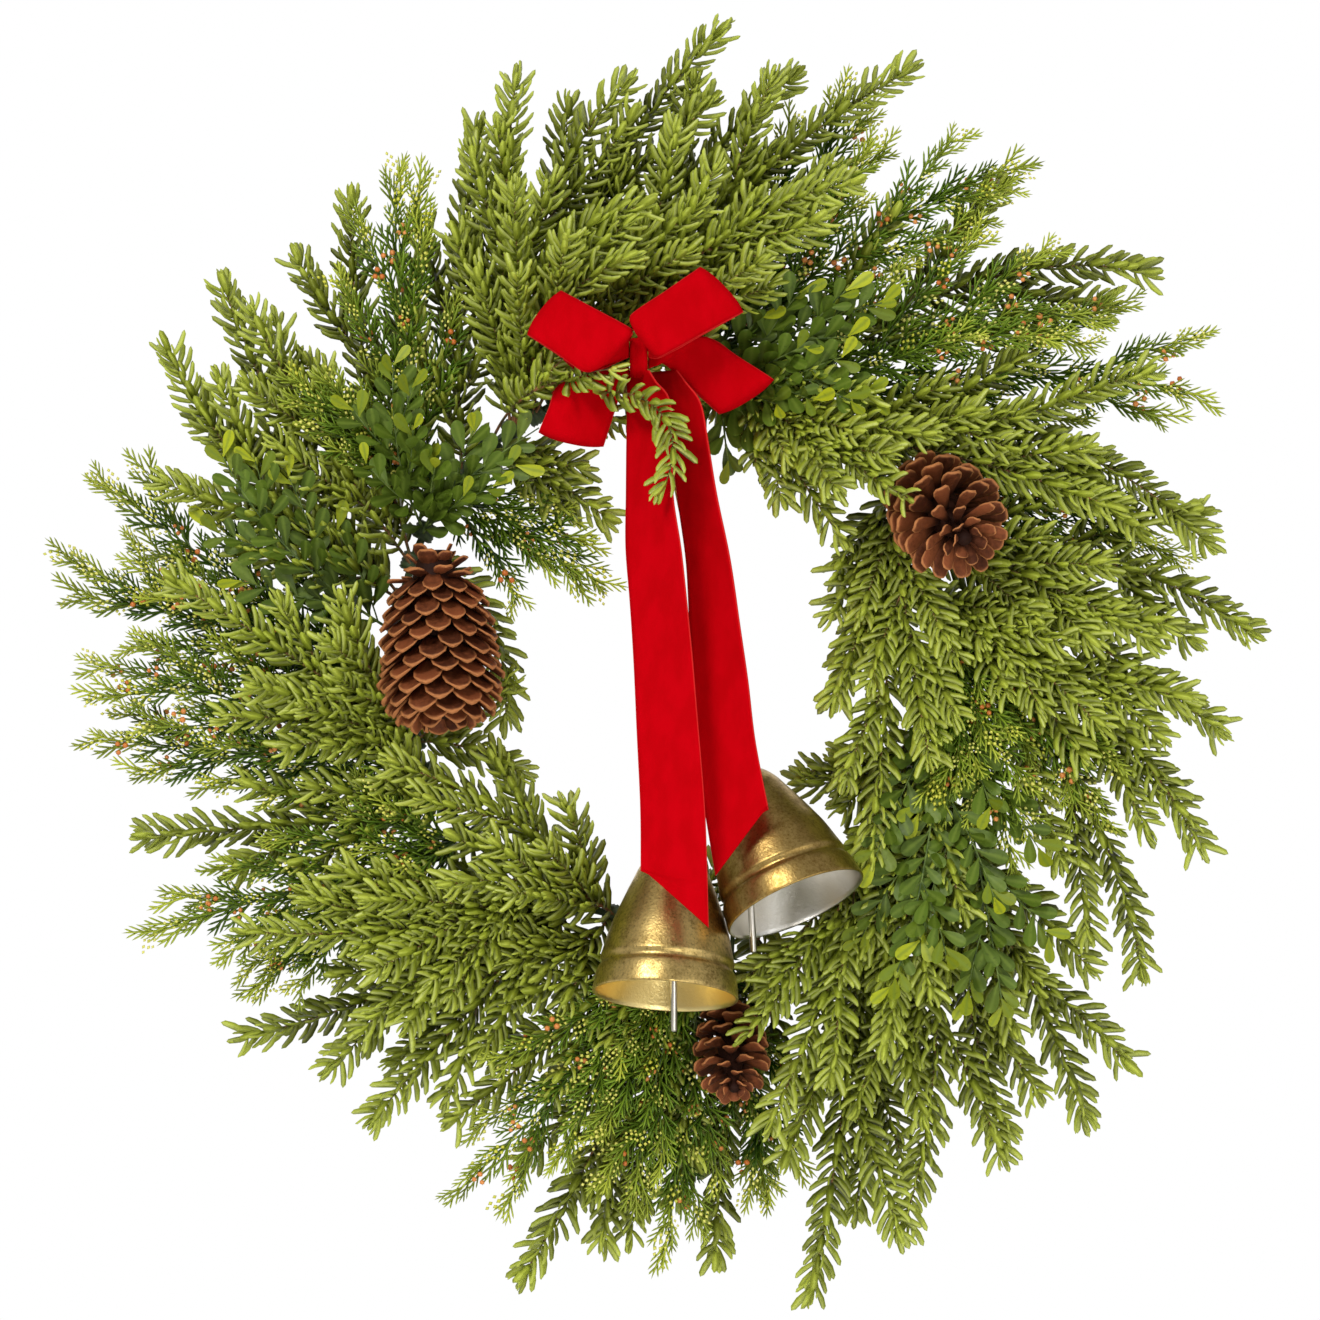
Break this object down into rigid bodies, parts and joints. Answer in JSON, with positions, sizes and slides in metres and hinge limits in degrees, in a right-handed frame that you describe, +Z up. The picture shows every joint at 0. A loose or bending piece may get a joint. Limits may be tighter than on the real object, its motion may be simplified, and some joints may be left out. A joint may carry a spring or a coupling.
{
  "type": "hanging wreath with bells",
  "caption": "Hanging wreath of mixed pine, cedar and boxwood sprays on a wire ring, with a red velvet bow and tails, pine cones and gilt metal bells with swinging clappers.",
  "frame": {"origin": "the hanging point: the underside of the ring's wire at the top, where a nail or hook carries it", "axes": "+X to the right as seen from the front, +Y towards the wall behind, +Z up; the front faces -Y"},
  "size_m": [0.6852, 0.1541, 0.728],
  "materials": {
    "wire_green": "satin",
    "pine_green": "matte",
    "cedar_green": "matte",
    "boxwood_green": "satin",
    "cone_brown": "rough",
    "velvet_red": "velvet",
    "bell_gold": "antiqued gold leaf",
    "rod_silver": "satin",
    "cord_gold": "twisted cord"
  },
  "bodies": {
    "wreath": {"ring_frame": "wire_green", "bow_wire": "wire_green", "bow_knot": "velvet_red", "bow_loop_upper_left": "velvet_red", "bow_loop_upper_right": "velvet_red", "bow_loop_lower_left": "velvet_red", "bow_loop_lower_right": "velvet_red", "bow_tail_left": "velvet_red", "bow_tail_right": "velvet_red", "bell_left": "bell_gold", "bell_right": "bell_gold", "bell_left_wire": "rod_silver", "bell_right_wire": "rod_silver", "bell_cord_left": "cord_gold", "bell_cord_right": "cord_gold", "cone_left": "cone_brown", "cone_right": "cone_brown", "cone_bottom": "cone_brown", "pine_01": "pine_green", "pine_02": "pine_green", "pine_03": "pine_green", "pine_04": "pine_green", "pine_05": "pine_green", "pine_06": "pine_green", "pine_07": "pine_green", "pine_08": "pine_green", "pine_09": "pine_green", "pine_10": "pine_green", "pine_11": "pine_green", "pine_12": "pine_green", "pine_13": "pine_green", "pine_14": "pine_green", "pine_15": "pine_green", "pine_16": "pine_green", "pine_18": "pine_green", "pine_19": "pine_green", "pine_20": "pine_green", "pine_21": "pine_green", "pine_22": "pine_green", "pine_23": "pine_green", "pine_24": "pine_green", "pine_25": "pine_green", "pine_26": "pine_green", "pine_27": "pine_green", "pine_28": "pine_green", "cedar_01": "cedar_green", "cedar_02": "cedar_green", "cedar_03": "cedar_green", "cedar_04": "cedar_green", "cedar_05": "cedar_green", "cedar_06": "cedar_green", "cedar_07": "cedar_green", "cedar_08": "cedar_green", "cedar_09": "cedar_green", "boxwood_01": "boxwood_green", "boxwood_02": "boxwood_green", "boxwood_03": "boxwood_green", "boxwood_04": "boxwood_green"},
    "left_clapper": {"clapper_left": "rod_silver"},
    "right_clapper": {"clapper_right": "rod_silver"}
  },
  "joints": [
    {"name": "left_clapper_swing", "type": "hinge", "parent": "wreath", "child": "left_clapper", "pos_m": [0.00338, -0.05049, -0.27903], "axis": [0, 1, 0], "range_deg": [-17, 25]},
    {"name": "right_clapper_swing", "type": "hinge", "parent": "wreath", "child": "right_clapper", "pos_m": [0.0439, -0.04709, -0.23397], "axis": [-0.6241, -0.7813, 0], "range_deg": [0, 51]}
  ]
}
